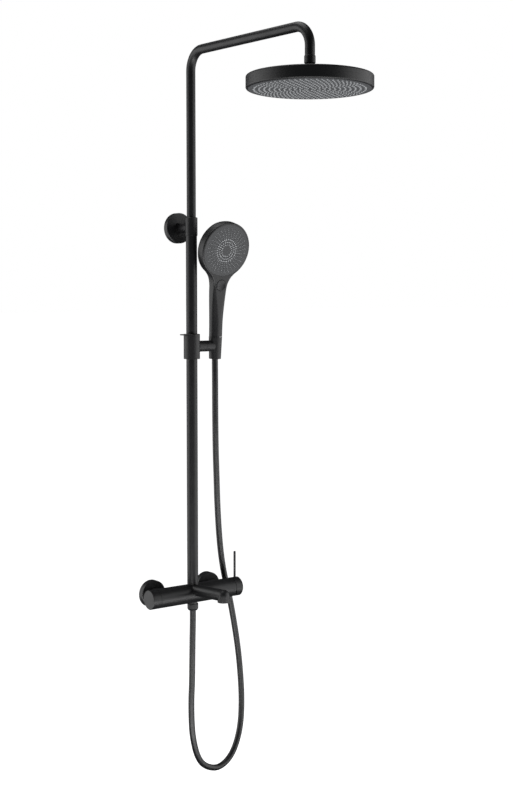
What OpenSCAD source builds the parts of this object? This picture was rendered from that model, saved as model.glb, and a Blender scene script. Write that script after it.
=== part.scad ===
// Rainfall shower column: bar mixer with spout, telescopic riser, rain head,
// and a hand shower in a sliding holder. Front is -Y, the wall is the plane Y = 0.

/* [Riser] */
// Distance from the wall to the riser axis
riser_off = 58; // [55:1:70]
// Outer diameter of the lower riser tube
lower_d = 24.5; // [22:0.5:30]
// Wall thickness of the lower riser tube
lower_wall = 1.2; // [1:0.1:1.3]
// Outer diameter of the upper riser tube
upper_d = 20; // [16:0.5:20.5]
// Wall thickness of the upper riser tube
upper_wall = 1.1; // [0.8:0.1:1.5]
// Height of the overhead arm above the mixer axis
arm_z = 1192; // [980:1:1450]
// Reach of the overhead arm from the riser axis
arm_reach = 406; // [300:1:500]
// Centreline radius of the two bends in the arm
bend_r = 42; // [34:1:60]
// Length of upper tube hidden inside the lower tube
overlap_l = 180; // [140:1:300]

/* [Wall bracket] */
// Height of the bracket post above the mixer axis
bracket_z = 813; // [650:1:850]
// Diameter of the bracket's wall disc
rose_d = 67; // [56:1:80]
// Depth of the bracket's wall disc
rose_depth = 13; // [10:0.5:16]
// Diameter of the bracket post
post_d = 20; // [16:0.5:22]
// Wall of the riser collar outside the lower tube
collar_wall = 1.25; // [1:0.05:5]
// Height of the riser collar
collar_h = 40; // [34:1:50]

/* [Mixer] */
// Diameter of the mixer body
mixer_d = 43; // [41:0.5:52]
// Length of the body to the left of the riser axis
body_left = 96; // [92:1:120]
// Length of the body to the right of the riser axis
body_right = 106; // [102:1:130]
// Distance between the two wall inlets
inlet_pitch = 150; // [140:1:152]
// Diameter of an inlet escutcheon
escutcheon_d = 61; // [50:1:72]
// Depth of an inlet escutcheon
escutcheon_depth = 15; // [10:0.5:16]
// Length of the lever cap
cap_l = 19; // [15:0.2:24]
// Length of the diverter knob
knob_l = 20; // [14:0.5:26]
// Diameter of the pin lever
pin_d = 5.2; // [4:0.1:8]
// Length of the pin lever above the cap
pin_l = 60; // [40:1:80]
// Travel of the lever cap's flow tilt, in degrees
tilt_deg = 12; // [6:1:14]

/* [Spout] */
// Diameter of the spout tube
spout_d = 26; // [22:0.5:29]
// Reach of the spout outlet from the riser axis
spout_reach = 117; // [90:1:160]
// Height of the spout axis where it leaves the body
spout_z = 8; // [4:0.5:10]
// Rise of the spout axis over its reach
spout_rise = 7; // [0:0.5:12]
// Drop from the spout axis to the outlet's mouth
outlet_drop = 14.5; // [13.5:0.5:30]

/* [Rain head] */
// Diameter of the rain head
head_d = 250; // [190:1:310]
// Thickness of the rain head
head_h = 26; // [26:1:40]
// Radius of the rain head's edge rounding
head_round = 3.5; // [1:0.5:5]
// Height from the head's top to the arm axis
head_drop = 99; // [90:1:130]
// Forward tilt of the rain head as it is left, in degrees
head_tilt = 1.4; // [0:0.1:3]
// Sideways lean of the rain head as it is left, in degrees
head_lean = 1.1; // [0:0.1:3]
// Wall of the swivel nut outside the arm's tube
nut_wall = 1.2; // [1:0.1:4]
// Radius of the ball in the head's ball joint
ball_r = 8; // [7:0.2:9]

/* [Slider and holder] */
// Height of the slider's centre above the mixer axis
slider_z = 552.5; // [300:0.5:650]
// Wall of the slider outside its bush
slider_wall = 3.45; // [3:0.05:8]
// Height of the slider
slider_h = 55; // [46:1:70]
// Diameter of the holder arm
holder_d = 24.5; // [20:0.5:28]
// Distance from the riser axis to the socket axis
socket_off = 63.5; // [58:0.5:80]
// Height of the holder socket
socket_h = 49; // [42:1:60]
// Forward lean of the hand shower in its holder, in degrees
lean = 2.5; // [0:0.5:6]

/* [Hand shower] */
// Diameter of the hand shower's head
hand_d = 125; // [100:1:130]
// Width of the rim round the hand shower's face plate
face_rim = 4.5; // [3:0.5:16]
// Height of the face centre above the holder arm's axis
face_z = 212; // [195:1:230]
// Thickness of the hand shower's rim
rim_t = 22; // [16:0.5:26]
// Diameter of the handle at its lower end
handle_d = 28.6; // [26:0.2:32]
// Diameter of the spray button
button_d = 25; // [18:0.5:28]

/* [Hose] */
// Outer diameter of the hose
hose_d = 14; // [12:0.5:16]
// Diameter of the hose nut under the mixer
hose_nut_d = 24.5; // [24:0.5:28]

/* [Hidden] */
$fn = 64;

// Shared clearances and colours
run_gap = 0.05;     // radial clearance of a running fit
free_gap = 0.4;     // clearance between parts that pass each other
eps = 0.01;
matt_black = "#242426";
dark_grey = "#4b4c4e";
silicone_grey = "#8d8f92";
brass = "#b89a58";
steel = "#9a9c9f";
nylon = "#d8d8d2";
rubber = "#2b2b2b";

// Riser
ry = -riser_off;
lower_id = lower_d - 2 * lower_wall;
chamber_r = 9;
riser_seat_z = chamber_r + 0.6;
seal_t = 1.2;
seal_zs = [riser_seat_z + 0.9, riser_seat_z + 3.3];
collar_d = lower_d + 2 * collar_wall;
collar_z0 = bracket_z - 18;
collar_z1 = collar_z0 + collar_h;
lower_top = collar_z0 + 10;
upper_bottom = collar_z1 - overlap_l;
bush_h = 30;
head_y = ry - arm_reach;
head_top = arm_z - head_drop;
head_bottom = head_top - head_h;
ball_z = head_top + 11;
nut_z0 = head_top + 23.5;
nut_h = 15;
nut_d = upper_d + 2 * nut_wall;
leg_bottom = nut_z0 + 6;

// Mixer
mixer_r = mixer_d / 2;
pocket_r = 17.5;
spout_port_r = 6;
spout_port_z = 2;
port_x = inlet_pitch / 2;
cartridge_x = body_right - 23;
cap_x = body_right + 1;
cap_end = cap_x + cap_l;
knob_gap = 0.6;
knob_x = -body_left - knob_gap;
pin_x = cap_x + cap_l / 2;
union_y = ry + mixer_r + 9.5;
thread_half = 10.4;      // radius of a G1/2 thread
thread_threequarter = 13; // radius of a G3/4 thread
washer_t = 2;
nipple_z = -mixer_r - 1.2;
hose_nut_h = 15;
hose_nut_z1 = -mixer_r - 1.4;
hose_nut_z0 = hose_nut_z1 - hose_nut_h;
spout_corner_z = spout_z + spout_rise;
spout_wall = 2.5;

// Slider and holder
slider_z0 = slider_z - slider_h / 2;
slider_z1 = slider_z + slider_h / 2;
lip_h = 5;
slider_bush_d = lower_d + 2 * run_gap + 4.4;
slider_d = slider_bush_d + 2 * run_gap + 2 * slider_wall;
tab_t = 2.6;
tab_travel = 2.5;
stub_end = 34.5;
cone_top_r = 12.3;
cone_bottom_r = 10;
socket_wall = 2.4;
socket_z1 = 20;
socket_z0 = socket_z1 - socket_h;
cone_z1 = socket_z1 - 2;
cone_z0 = socket_z0 + 2.5;
slot_w = 15.5;

// Hand shower, in the holder's own frame: Z up the handle, front is -Y
handle_r = handle_d / 2;
hand_r = hand_d / 2;
face_d = hand_d - 2 * face_rim;
handle_z0 = socket_z1 + 0.8;
face_tilt = 14;
face_y = -34.3;
face_t = 3;
hand_z1 = face_z + hand_r * cos(face_tilt);
neck_z = face_z - hand_r - 18;
neck_growth = 3.2;  // how much wider each side of the handle is at the neck
flare_r = 45;
button_z = 135;
button_proud = 1.2;
button_h = 6;
button_travel = 2;
bore_r = 4.5;
neck_bore_r = 3.8;   // the water way steps down where it turns into the head

// Hose: route of its centreline from the cone nut to the nut under the mixer
HOSE = [
    [63.5, -56.8, 527], [64, -56, 512], [65, -55, 480], [68, -51, 430], [72, -46, 370],
    [78, -39, 310], [85, -32, 250], [91, -26, 200], [98, -20, 150], [104, -16, 110],
    [110, -14, 70], [117, -14, 30], [125, -15, -5], [133, -17, -40], [142, -21, -95],
    [149, -26, -155], [152, -31, -210], [152, -36, -265], [147, -41, -315],
    [137, -45, -353], [120, -49, -386], [98, -52, -407], [72, -54, -416],
    [47, -55, -411], [25, -56, -396], [10, -57, -371], [0, -58, -335],
    [-4, -58, -300], [-5, -58, -250], [-3, -58, -200], [-2, -58, -150],
    [-1, -58, -100], [0, -58, -60], [0, -58, -36.4]
];
hose_sides = 10;
hose_step = 0.5;    // rings per stretch between two route points

// A point on the smooth curve through the route, at stretch i and fraction t
function route(i) = HOSE[max(0, min(len(HOSE) - 1, i))];
function smooth(i, t) =
    let (a = route(i - 1), b = route(i), c = route(i + 1), d = route(i + 2))
    0.5 * (2 * b + (c - a) * t + (2 * a - 5 * b + 4 * c - d) * t * t
    + (3 * b - a - 3 * c + d) * t * t * t);
hose_line = [
    for (i = [0:len(HOSE) - 2], t = [0:hose_step:1 - hose_step]) smooth(i, t),
    route(len(HOSE) - 1)
];
function unit(v) = v / norm(v);
function heading(p, i) = unit(p[min(i + 1, len(p) - 1)] - p[max(i - 1, 0)]);
function ring(p, i, r, n) =
    let (t = i == 0 || i == len(p) - 1 ? [0, 0, -1] : heading(p, i),
        u = unit(cross([0, 1, 0], t)), v = cross(t, u))
    [for (k = [0:n - 1]) p[i] + r * (cos(360 * k / n) * u + sin(360 * k / n) * v)];

// A closed skin over a stack of rings that all have n points
module loft(rings) {
    n = len(rings[0]);
    m = len(rings);
    points = [for (r = rings) each r];
    sides = [
        for (j = [0:m - 2], k = [0:n - 1])
            let (a = j * n + k, b = j * n + (k + 1) % n)
            each [[a, b, b + n], [a, b + n, a + n]]
    ];
    caps = [[for (k = [n - 1:-1:0]) k], [for (k = [0:n - 1]) (m - 1) * n + k]];
    polyhedron(points, concat(sides, caps), convexity = 8);
}

// Frames
module at_riser() { translate([0, ry, 0]) children(); }
module at_head() { translate([0, head_y, 0]) children(); }
module at_tilted_head() {
    translate([0, head_y, ball_z]) rotate([-head_tilt, head_lean, 0]) translate([0, 0, -ball_z]) children();
}
module along_x(x0, x1, r) { translate([x0, 0, 0]) rotate([0, 90, 0]) cylinder(r = r, h = x1 - x0); }
module along_y(y0, y1, r) { translate([0, y0, 0]) rotate([-90, 0, 0]) cylinder(r = r, h = y1 - y0); }
module in_holder() { translate([socket_off, ry, slider_z]) rotate([lean, 0, 0]) children(); }
module on_face() { translate([0, face_y, face_z]) rotate([90 + face_tilt, 0, 0]) children(); }
module on_both_inlets() { for (s = [-1, 1]) translate([s * port_x, 0, 0]) children(); }

// A tube standing on Z
module tube(r_out, r_in, z0, z1) {
    difference() {
        translate([0, 0, z0]) cylinder(r = r_out, h = z1 - z0);
        translate([0, 0, z0 - 1]) cylinder(r = r_in, h = z1 - z0 + 2);
    }
}

// Riser ------------------------------------------------------------------

module lower_riser_tube() {
    color(matt_black) at_riser() tube(lower_d / 2, lower_id / 2, riser_seat_z, lower_top);
}

// Collar that closes the lower tube, guides the upper one and meets the post
module riser_collar() {
    color(matt_black) at_riser() difference() {
        translate([0, 0, collar_z0]) rotate_extrude() polygon([
            [0, 0], [collar_d / 2 - 0.6, 0], [collar_d / 2, 0.6],
            [collar_d / 2, collar_h - 1], [collar_d / 2 - 1, collar_h], [0, collar_h]
        ]);
        translate([0, 0, collar_z0 - 1]) cylinder(r = lower_d / 2, h = lower_top - collar_z0 + 1);
        translate([0, 0, lower_top - 1]) cylinder(r = upper_d / 2 + run_gap, h = collar_h);
        translate([0, 0, collar_z1 - 9]) cylinder(r = upper_d / 2 + 1.5, h = 3);
        translate([0, 0, bracket_z + 8]) along_x(upper_d / 2, collar_d, 2);
    }
}

module collar_seal() {
    color(rubber) at_riser()
        tube(upper_d / 2 + 1.5, upper_d / 2 + run_gap, collar_z1 - 9, collar_z1 - 6);
}

module collar_grub_screw() {
    color(steel) at_riser() translate([0, 0, bracket_z + 8]) difference() {
        along_x(upper_d / 2 + free_gap, collar_d / 2 - 0.3, 2);
        translate([collar_d / 2 - 2, 0, 0]) rotate([0, 90, 0]) cylinder(r = 1.1, h = 4, $fn = 6);
    }
}

// Two O-rings that seal the lower tube in the mixer
module riser_seals() {
    color(rubber) at_riser() for (z = seal_zs)
        tube(lower_d / 2 + seal_t * 0.75, lower_d / 2, z, z + seal_t);
}

// Bracket ----------------------------------------------------------------

post_y0 = -rose_depth;

module bracket_post() {
    color(matt_black) difference() {
        translate([0, 0, bracket_z]) union() {
            along_y(ry, post_y0, post_d / 2);
            along_y(post_y0 - 5, post_y0, post_d / 2 + 1.6);
        }
        at_riser() translate([0, 0, bracket_z - collar_h]) cylinder(r = collar_d / 2, h = 2 * collar_h);
        translate([0, 0, bracket_z]) along_y(post_y0 - 12, post_y0 + 1, 3);
    }
}

module bracket_disc() {
    color(matt_black) translate([0, 0, bracket_z]) difference() {
        rotate([90, 0, 0]) rotate_extrude() polygon([
            [0, 0], [rose_d / 2, 0], [rose_d / 2, rose_depth - 1.2],
            [rose_d / 2 - 1.2, rose_depth], [0, rose_depth]
        ]);
        along_y(1.8 - rose_depth, 1, rose_d / 2 - 1.8);
        along_y(-rose_depth - 1, 1, 9);
    }
}

// Plate screwed to the wall, hidden by the disc
module bracket_wall_plate() {
    color(steel) translate([0, 0, bracket_z]) difference() {
        union() {
            along_y(-4, 0, rose_d / 2 - 8);
            along_y(-rose_depth, -3, 8.8);
        }
        for (s = [-1, 1]) translate([s * 17, 0, 0]) along_y(-5, 1, 2.6);
        along_y(-rose_depth - 1, 1, 3.2);
    }
}

module bracket_screws() {
    color(steel) translate([0, 0, bracket_z]) for (s = [-1, 1]) translate([s * 17, 0, 0])
        difference() {
            along_y(-6.4, -4, 4.4);
            translate([0, -5.6, 0]) rotate([90, 0, 0]) cylinder(r = 1.8, h = 3, $fn = 6);
        }
}

// Bolt that pulls the post onto the wall plate
module post_screw() {
    color(steel) translate([0, 0, bracket_z]) along_y(post_y0 - 11, 0, 2.9);
}

// Mixer ------------------------------------------------------------------

module mixer_body() {
    color(matt_black) at_riser() difference() {
        union() {
            along_x(-body_left, body_right, mixer_r);
            on_both_inlets() along_y(0, riser_off + union_y - washer_t, 10);
            on_both_inlets() along_y(riser_off + union_y - washer_t - 3,
                riser_off + union_y - washer_t, thread_threequarter - 0.6);
        }
        along_x(cartridge_x, body_right + 1, pocket_r);
        along_x(-body_left - 1, -body_left + 13, pocket_r - 3);
        along_x(-body_left + 12, cartridge_x + 1, chamber_r);
        on_both_inlets() along_y(chamber_r - 4, riser_off, 6);
        translate([0, 0, riser_seat_z]) cylinder(r = lower_d / 2, h = mixer_r);
        cylinder(r = lower_id / 2 - 2, h = mixer_r);
        for (z = seal_zs) translate([0, 0, z]) cylinder(r = lower_d / 2 + seal_t * 0.75, h = seal_t);
        translate([0, 0, -mixer_r - 1]) cylinder(r = thread_half, h = 9);
        translate([0, 0, -mixer_r]) cylinder(r = 6, h = mixer_r);
        translate([0, 0, spout_port_z]) along_y(-mixer_r, 0, spout_port_r);
    }
}

module mixing_cartridge() {
    color(nylon) at_riser() difference() {
        along_x(cartridge_x, body_right - 6, pocket_r - 0.1);
        along_x(cartridge_x - 1, cartridge_x + 3, 9);
    }
}

module cartridge_nut() {
    color(brass) at_riser() difference() {
        union() {
            along_x(body_right - 6, body_right + 3, 15);
            along_x(body_right - 6, body_right, pocket_r - 0.1);
        }
        along_x(body_right - 7, body_right + 4, 10);
    }
}

module diverter_cartridge() {
    color(nylon) at_riser() along_x(-body_left + 3, -body_left + 13, pocket_r - 3.1);
}

module diverter_nut() {
    color(brass) at_riser() difference() {
        along_x(-body_left - 2, -body_left + 3, pocket_r - 3.1);
        along_x(-body_left - 3, -body_left + 4, 6);
    }
}

// Straight unions that screw into the wall and carry the mixer
module inlet_unions() {
    color(brass) on_both_inlets() difference() {
        union() {
            along_y(union_y, 1, thread_threequarter);
            along_y(0, 14, thread_half);
        }
        along_y(union_y - 1, 15, 8);
    }
}

module inlet_nuts() {
    color(matt_black) on_both_inlets() difference() {
        translate([0, union_y + 5, 0]) rotate([90, 0, 0])
            cylinder(r = 17, h = 12.5, $fn = 6);
        along_y(union_y - washer_t - 3, union_y + 7, thread_threequarter);
        along_y(union_y - 12, union_y + 7, 10);
    }
}

module inlet_washers() {
    color(rubber) on_both_inlets() difference() {
        along_y(union_y - washer_t, union_y, 12);
        along_y(union_y - washer_t - 1, union_y + 1, 7);
    }
}

module check_valves() {
    color(nylon) on_both_inlets() difference() {
        along_y(union_y + 2, union_y + 18, 7.9);
        along_y(union_y + 1, union_y + 12, 4.5);
    }
}

module escutcheons() {
    color(matt_black) on_both_inlets() difference() {
        rotate([90, 0, 0]) rotate_extrude() polygon([
            [0, 0], [escutcheon_d / 2, 0], [escutcheon_d / 2, escutcheon_depth - 1.2],
            [escutcheon_d / 2 - 1.2, escutcheon_depth], [0, escutcheon_depth]
        ]);
        along_y(1.6 - escutcheon_depth, 1, escutcheon_d / 2 - 1.6);
        along_y(-escutcheon_depth - 1, 1, thread_threequarter + 0.2);
    }
}

// Spout with a rising barrel and a mouth that points down
module spout() {
    color(matt_black) at_riser() difference() {
        union() {
            spout_barrel(spout_d / 2);
            translate([0, -spout_reach, spout_corner_z]) sphere(r = spout_d / 2);
            translate([0, -spout_reach, spout_corner_z - outlet_drop])
                cylinder(r = spout_d / 2, h = outlet_drop);
        }
        along_x(-mixer_d, mixer_d, mixer_r);
        cylinder(r = lower_d / 2 + seal_t, h = 2 * mixer_d);
        spout_barrel(spout_d / 2 - spout_wall);
        translate([0, -spout_reach, spout_corner_z - outlet_drop - 1])
            cylinder(r = spout_d / 2 - spout_wall, h = outlet_drop + 1);
    }
}

module spout_barrel(r) {
    slope = atan(spout_rise / spout_reach);
    translate([0, 0, spout_z]) rotate([90 - slope, 0, 0])
        cylinder(r = r, h = spout_reach / cos(slope));
}

// Aerator in the spout's mouth, with a mesh of small holes
module aerator() {
    mesh_r = spout_d / 2 - spout_wall - 4.5;
    color(dark_grey) at_riser()
        translate([0, -spout_reach, spout_corner_z - outlet_drop + 0.6]) difference() {
            cylinder(r = spout_d / 2 - spout_wall - 0.1, h = 7);
            translate([0, 0, 2]) cylinder(r = spout_d / 2 - spout_wall - 1.6, h = 7);
            translate([0, 0, -1]) cylinder(r = 0.8, h = 4);
            for (k = [0:5]) rotate(60 * k) translate([mesh_r / 2, 0, -1]) cylinder(r = 0.8, h = 4);
            for (k = [0:11]) rotate(30 * k + 15) translate([mesh_r, 0, -1]) cylinder(r = 0.8, h = 4);
        }
}

// Nipple that takes the hose under the body
module outlet_nipple() {
    color(brass) at_riser() difference() {
        translate([0, 0, hose_nut_z1 - 8]) cylinder(r = thread_half - 0.1, h = 15.4);
        translate([0, 0, hose_nut_z1 - 9]) cylinder(r = 6, h = 18);
    }
}

module hose_nut() {
    color(matt_black) at_riser() difference() {
        translate([0, 0, hose_nut_z0]) rotate_extrude() polygon([
            [0, 0], [hose_nut_d / 2 - 2.2, 0], [hose_nut_d / 2, 3.5],
            [hose_nut_d / 2, hose_nut_h - 0.8], [hose_nut_d / 2 - 0.8, hose_nut_h], [0, hose_nut_h]
        ]);
        translate([0, 0, hose_nut_z0 + 5]) cylinder(r = thread_half, h = hose_nut_h);
        translate([0, 0, hose_nut_z0 - 1]) cylinder(r = hose_d / 2, h = hose_nut_h);
        for (k = [0:11]) rotate(30 * k) translate([hose_nut_d / 2 + 0.5, 0, hose_nut_z0 + 3.5])
            cylinder(r = 1, h = hose_nut_h);
    }
}

module hose_washer() {
    color(rubber) at_riser() tube(thread_half - 0.3, 5, hose_nut_z1 - 9.6, hose_nut_z1 - 8);
}

module shower_hose() {
    color("#2c2c2f") loft([for (i = [0:len(hose_line) - 1]) ring(hose_line, i, hose_d / 2, hose_sides)]);
}

// Telescope and overhead arm ---------------------------------------------

module telescope_bush() {
    color(nylon) at_riser()
        tube(lower_id / 2 - run_gap, upper_d / 2 + run_gap, upper_bottom + 2, upper_bottom + bush_h);
}

// A quarter bend of the arm tube about the origin, from the +Y side round to the top
module quarter_bend() {
    rotate([90, 0, 90]) rotate_extrude(angle = 90) translate([bend_r, 0, 0]) difference() {
        circle(r = upper_d / 2);
        circle(r = upper_d / 2 - upper_wall);
    }
}

module upper_riser_arm() {
    r_in = upper_d / 2 - upper_wall;
    color(matt_black) union() {
        at_riser() tube(upper_d / 2, r_in, upper_bottom, arm_z - bend_r);
        translate([0, ry - bend_r, arm_z - bend_r]) quarter_bend();
        translate([0, ry - bend_r, arm_z]) rotate([90, 0, 0])
            tube(upper_d / 2, r_in, 0, arm_reach - 2 * bend_r);
        translate([0, head_y + bend_r, arm_z - bend_r]) mirror([0, 1, 0]) quarter_bend();
        at_head() tube(upper_d / 2, r_in, leg_bottom, arm_z - bend_r);
    }
}

module arm_nut() {
    color(matt_black) at_head() difference() {
        translate([0, 0, nut_z0]) rotate_extrude() polygon([
            [0, 0], [nut_d / 2 - 0.8, 0], [nut_d / 2, 0.8],
            [nut_d / 2, nut_h - 0.8], [nut_d / 2 - 0.8, nut_h], [0, nut_h]
        ]);
        translate([0, 0, leg_bottom]) cylinder(r = upper_d / 2, h = nut_h);
        translate([0, 0, nut_z0 - 1]) cylinder(r = 7, h = nut_h);
    }
}

// Ball on a hollow stem that screws into the arm's nut
module ball_stem() {
    color(steel) at_head() difference() {
        union() {
            translate([0, 0, ball_z]) sphere(r = ball_r);
            translate([0, 0, ball_z]) cylinder(r = 5, h = nut_z0 - ball_z + 2);
            translate([0, 0, nut_z0]) cylinder(r = 7, h = leg_bottom - nut_z0);
        }
        translate([0, 0, ball_z - ball_r - 1]) cylinder(r = 3, h = 30);
    }
}

// Seal ring that bears on the underside of the ball
module ball_washer() {
    k = ball_r / 8;
    color(rubber) at_tilted_head() translate([0, 0, ball_z]) rotate_extrude() polygon([
        [4.4 * k, -7.8 * k], [6.4 * k, -7.8 * k], [6.4 * k, -5.2 * k], [4.4 * k, -7.1 * k]
    ]);
}

// Housing round the ball: closes over it and carries the head
cup_r = ball_r + 6.6;
cup_bore = ball_r + 0.4;
spigot_r = ball_r + 3.2;

module ball_cup() {
    lip = 3.6;
    color(matt_black) at_tilted_head() difference() {
        union() {
            translate([0, 0, head_top + free_gap]) rotate_extrude() polygon([
                [0, 0], [cup_r, 0], [cup_r, 12], [cup_r - 3.5, 19], [0, 19]
            ]);
            translate([0, 0, head_top - 6]) cylinder(r = spigot_r, h = 8);
        }
        translate([0, 0, ball_z]) sphere(r = cup_bore);
        translate([0, 0, head_top - 7]) cylinder(r = cup_bore, h = ball_z - head_top + 7);
        translate([0, 0, ball_z + lip]) rotate_extrude()
            polygon([[0, 0], [ball_r - 0.5, 0], [ball_r + 1.4, 8.6], [0, 8.6]]);
    }
}

// Ring under the head's top wall that keeps the head on its cup
module cup_retainer() {
    color(brass) at_tilted_head() tube(spigot_r + 3.6, spigot_r, head_top - 6, head_top - 2.5 - free_gap);
}

// Rain head --------------------------------------------------------------

head_wall = 2.5;
plate_r = head_d / 2 - 4.5;
mouth_r = plate_r + 0.1;
plate_t = 3;
mat_t = 2.2;

module head_shell() {
    r = head_d / 2;
    color(matt_black) at_tilted_head() difference() {
        translate([0, 0, head_bottom]) rotate_extrude($fn = 128) union() {
            square([r - head_round, head_h]);
            translate([0, head_round]) square([r, head_h - 2 * head_round]);
            for (z = [head_round, head_h - head_round]) translate([r - head_round, z])
                circle(r = head_round, $fn = 48);
        }
        translate([0, 0, head_bottom - 1]) cylinder(r = mouth_r, h = plate_t + 1 + eps, $fn = 128);
        translate([0, 0, head_bottom + plate_t])
            cylinder(r = mouth_r - 2, h = head_h - head_wall - plate_t, $fn = 128);
        translate([0, 0, head_top - 5]) cylinder(r = spigot_r + free_gap, h = 10);
    }
}

module head_face_plate() {
    color(dark_grey) at_tilted_head() translate([0, 0, head_bottom])
        cylinder(r = plate_r, h = plate_t, $fn = 128);
}

// Silicone mat behind the face plate
module head_nozzle_mat() {
    color(silicone_grey) at_tilted_head() translate([0, 0, head_bottom + plate_t])
        cylinder(r = plate_r - 5, h = mat_t, $fn = 128);
}

// Inner plate that closes the water chamber above the mat
module head_water_plate() {
    color(nylon) at_tilted_head() translate([0, 0, head_bottom + plate_t + mat_t]) difference() {
        cylinder(r = plate_r - 5, h = 2.5, $fn = 128);
        for (k = [0:7]) rotate(45 * k) translate([plate_r * 0.5, 0, -1]) cylinder(r = 4, h = 5);
    }
}

module head_screws() {
    color(steel) at_tilted_head() for (k = [0:7]) rotate(45 * k + 22.5)
        translate([plate_r - 14, 0, head_bottom + plate_t + mat_t + 2.5]) cylinder(r = 2.8, h = 2);
}

// Slider and holder ------------------------------------------------------

module slider_bush() {
    color(nylon) at_riser()
        tube(slider_bush_d / 2, lower_d / 2 + run_gap, slider_z0 + lip_h + 0.5, slider_z1 - lip_h - 0.5);
}

module slider_body() {
    r = slider_d / 2;
    color(matt_black) at_riser() difference() {
        translate([0, 0, slider_z0]) rotate_extrude() polygon([
            [0, 0], [r - 0.8, 0], [r, 0.8], [r, slider_h - 0.8], [r - 0.8, slider_h], [0, slider_h]
        ]);
        translate([0, 0, slider_z0 - 1]) cylinder(r = lower_d / 2 + free_gap, h = slider_h + 2);
        translate([0, 0, slider_z0 + lip_h])
            cylinder(r = slider_bush_d / 2 + run_gap, h = slider_h - 2 * lip_h);
        translate([-r - 1, -7.5, slider_z1 - tab_t - 0.6]) cube([r - 11, 15, tab_t + 2]);
        translate([0, 0, slider_z]) along_x(r - 3, r + 1, 6);
    }
}

// Tab at the slider's top that frees it on the tube
module release_tab() {
    r = slider_d / 2;
    color(matt_black) at_riser() intersection() {
        translate([-r - 9.5, -7, slider_z1 - tab_t]) cube([r - 7, 14, tab_t]);
        translate([2.5, 0, slider_z1 - tab_t - 1]) difference() {
            cylinder(r = r + 12, h = tab_t + 2);
            translate([-2.5, 0, -1]) cylinder(r = lower_d / 2 + tab_travel + 0.6, h = tab_t + 4);
        }
    }
}

// Fixed stub of the holder's arm
module holder_arm() {
    color(matt_black) at_riser() difference() {
        translate([0, 0, slider_z]) union() {
            along_x(slider_d / 2 - 4, stub_end, holder_d / 2);
            along_x(slider_d / 2 - 3, stub_end, 5.9);
        }
        translate([0, 0, slider_z - holder_d]) cylinder(r = slider_d / 2, h = 2 * holder_d);
        translate([0, 0, slider_z]) along_x(slider_d / 2 + 4, stub_end + 1, 4 + run_gap);
    }
}

// Turning half of the arm with the slotted socket
module holder_socket() {
    r_low = cone_bottom_r + free_gap;
    r_high = cone_top_r + free_gap;
    color(matt_black) difference() {
        union() {
            at_riser() translate([0, 0, slider_z]) along_x(stub_end + 0.4, socket_off - 4, holder_d / 2);
            in_holder() translate([0, 0, socket_z0])
                cylinder(r1 = r_low + socket_wall + 0.6, r2 = r_high + socket_wall - 0.2, h = socket_h);
        }
        in_holder() rotate_extrude() polygon([
            [0, socket_z0 - 1], [r_low, socket_z0 - 1], [r_low, cone_z0],
            [r_high, cone_z1], [r_high, socket_z1 + 1], [0, socket_z1 + 1]
        ]);
        in_holder() translate([0, -slot_w / 2, socket_z0 - 1])
            cube([cone_top_r + 12, slot_w, socket_h + 2]);
    }
}

// Friction pin between the two halves of the arm
module holder_pivot() {
    color(steel) at_riser() translate([0, 0, slider_z])
        along_x(slider_d / 2 + 5, stub_end + 0.4, 4);
}

// Hand shower ------------------------------------------------------------

// Half width of the hand shower at height z
function blend_step(a, b, z) = let (t = max(0, min(1, (z - a) / (b - a)))) t * t * (3 - 2 * t);
function head_half(z) =
    let (s = (z - face_z) / (hand_r * cos(face_tilt))) hand_r * sqrt(max(0, 1 - s * s));
function handle_half(z) = handle_r + neck_growth * blend_step(handle_z0, neck_z + 16, z);
// The handle's straight side runs into the round head by an arc that touches both
function half_width(z) =
    let (s = (z - face_z) / cos(face_tilt), w = handle_half(z), c = w + flare_r,
        arc_s = -sqrt(pow(hand_r + flare_r, 2) - c * c),
        touch_s = arc_s * hand_r / (hand_r + flare_r))
    s > touch_s ? head_half(z) : s > arc_s ? c - sqrt(pow(flare_r, 2) - pow(s - arc_s, 2)) : w;

// Front and back faces at height z: the face plane runs down into the handle's front
bend_soft = 9;
function soft_min(a, b, k) =
    let (h = max(0, min(1, 0.5 + 0.5 * (b - a) / k))) b + (a - b) * h - k * h * (1 - h);
function plane_y(z) = face_y - (z - face_z) * tan(face_tilt);
function front_y(z) = soft_min(plane_y(z), -handle_r - 0.012 * (z - handle_z0), bend_soft);
function bulge(z) = let (s = (z - face_z) / (hand_r * cos(face_tilt))) 7 * sqrt(max(0, 1 - s * s));
function back_y(z) =
    let (a = handle_r + 0.01 * (z - handle_z0), b = plane_y(z) + rim_t + bulge(z),
        t = blend_step(neck_z - 20, face_z - 10, z))
    a + (b - a) * t;
// Rounding of radius r where the head ends at the top
function edge_drop(z, r) =
    let (e = hand_z1 - z) e < r ? r - sqrt(max(0, r * r - (r - e) * (r - e))) : 0;

front_round = 3.5;
// Radius between the front and the sides: a round handle that sharpens into the face's edge
function corner_r(z, w, d) =
    let (full = 0.92 * min(w, d))
    full + (min(front_round, full) - full) * blend_step(neck_z - 80, neck_z + 20, z);
// How far the sections have turned square to the face
function turned(z) = blend_step(neck_z - 60, face_z - 30, z);
hand_rings = 38;
half_steps = 14;
corner_steps = 4;
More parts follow.
